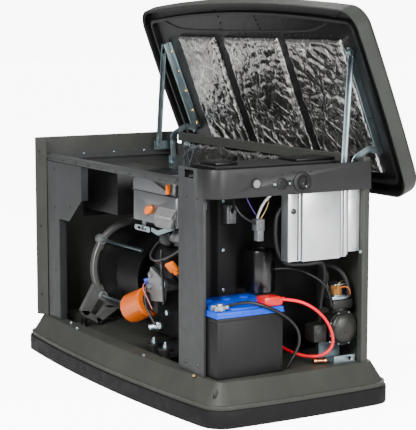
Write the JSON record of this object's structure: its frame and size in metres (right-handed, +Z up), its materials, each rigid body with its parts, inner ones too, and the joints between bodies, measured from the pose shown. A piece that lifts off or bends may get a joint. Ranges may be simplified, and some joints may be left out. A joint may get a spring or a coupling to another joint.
{
  "type": "home standby generator",
  "caption": "Home standby generator with its long lid held open by slotted stays and its door and service-end cover off, showing engine, alternator, battery and fuel regulator.",
  "frame": {"origin": "centre of the base's footprint on the ground", "axes": "+X along the length towards the service end, +Y towards the lid hinge at the back, +Z up; the door side faces -Y"},
  "size_m": [1.1998, 0.7043, 1.1182],
  "materials": {
    "skirt_black": "grained",
    "base_gray": "grained",
    "enclosure_green_gray": "textured powder coat",
    "frame_gray": "satin",
    "foil": "crinkled foil",
    "band_black": "grained",
    "lid_gray": "grained",
    "zinc": "zinc plated",
    "dark_steel": "satin black",
    "cast_alloy": "as cast",
    "laminations": "varnished",
    "shaft_steel": "ground",
    "flywheel_iron": "as cast",
    "shroud_gray": "satin",
    "orange": "gloss",
    "filter_orange": "gloss",
    "rubber_black": "matt",
    "battery_gray": "moulded",
    "battery_blue": "moulded",
    "lead": "dull",
    "red": "gloss",
    "cable_black": "satin",
    "bright_aluminium": "brushed",
    "regulator_alloy": "as cast",
    "regulator_olive": "satin",
    "coil_brown": "varnished",
    "connector_black": "moulded",
    "lock_chrome": "polished"
  },
  "bodies": {
    "enclosure": {"air_duct": "band_black", "air_filter_housing": "shroud_gray", "alternator_can": "dark_steel", "alternator_end_bell": "cast_alloy", "alternator_stator": "laminations", "back_panel": "enclosure_green_gray", "base_pan": "base_gray", "base_skirt": "skirt_black", "battery_case": "battery_gray", "battery_lid": "battery_blue", "battery_terminals": "lead", "control_box": "bright_aluminium", "cooling_shroud": "shroud_gray", "crankcase": "cast_alloy", "cylinders": "cast_alloy", "divider_wall": "frame_gray", "exhaust_pipe": "shaft_steel", "far_end_panel": "enclosure_green_gray", "far_top_rail": "frame_gray", "front_frame_plate": "frame_gray", "front_top_rail": "frame_gray", "fuel_hoses": "rubber_black", "fuel_solenoid": "coil_brown", "hinge_brackets": "zinc", "intake_bowl": "band_black", "middle_post": "enclosure_green_gray", "muffler": "dark_steel", "negative_cable": "cable_black", "oil_filter": "filter_orange", "panel_connectors": "connector_black", "panel_screws": "dark_steel", "positive_cable": "red", "positive_cover": "red", "rail_rivets": "zinc", "rear_foil_panel": "foil", "regulator_body": "regulator_alloy", "regulator_bracket": "zinc", "regulator_dome": "regulator_olive", "rocker_covers": "cast_alloy", "rubber_mounts": "rubber_black", "silencer": "band_black", "starter_motor": "dark_steel", "through_rods": "zinc", "top_band": "band_black", "top_tray": "frame_gray", "wiring_loom": "rubber_black"},
    "lid": {"lid_shell": "lid_gray", "lid_liner": "band_black", "lid_pads": "foil", "hinge_arm_near": "zinc", "hinge_arm_far": "zinc"},
    "near_stay": {"stay_near": "zinc"},
    "far_stay": {"stay_far": "zinc"},
    "rotor": {"crankshaft": "shaft_steel", "flywheel_fan": "flywheel_iron", "alternator_rotor": "laminations"},
    "filler_cap": {"oil_filler_cap": "orange"},
    "dipstick": {"oil_dipstick": "orange"},
    "governor": {"governor_lever": "zinc"},
    "lock": {"panel_latch": "lock_chrome"}
  },
  "joints": [
    {"name": "lid_hinge", "type": "hinge", "parent": "enclosure", "child": "lid", "pos_m": [0, 0.226, 0.58], "axis": [1, 0, 0], "range_deg": [0, 68.5]},
    {"name": "stay_near_pivot", "type": "hinge", "parent": "enclosure", "child": "near_stay", "pos_m": [0.516, 0.178, 0.64], "axis": [1, 0, 0], "range_deg": [0, 84.5]},
    {"name": "stay_far_pivot", "type": "hinge", "parent": "enclosure", "child": "far_stay", "pos_m": [-0.516, 0.178, 0.64], "axis": [1, 0, 0], "range_deg": [0, 84.5]},
    {"name": "crank_spin", "type": "hinge", "parent": "enclosure", "child": "rotor", "pos_m": [0, 0.015, 0.272], "axis": [1, 0, 0], "continuous": true},
    {"name": "oil_cap_turn", "type": "hinge", "parent": "enclosure", "child": "filler_cap", "pos_m": [0.105, -0.2, 0.519], "axis": [0, -1, 0], "range_deg": [0, 90]},
    {"name": "dipstick_pull", "type": "slide", "parent": "enclosure", "child": "dipstick", "axis": [0, -0.6472, 0.7623], "range_m": [0, 0.12]},
    {"name": "governor_pivot", "type": "hinge", "parent": "enclosure", "child": "governor", "pos_m": [0.065, -0.2, 0.462], "axis": [0, -1, 0], "range_deg": [-12, 12], "stiffness_Nm_per_rad": 0.05},
    {"name": "panel_lock_turn", "type": "hinge", "parent": "enclosure", "child": "lock", "pos_m": [0.55, -0.125, 0.632], "axis": [1, 0, 0], "range_deg": [0, 90]}
  ],
  "couplings": [
    {"joint": "stay_near_pivot", "follows": "lid_hinge", "ratio": 1.223},
    {"joint": "stay_far_pivot", "follows": "lid_hinge", "ratio": 1.223}
  ]
}
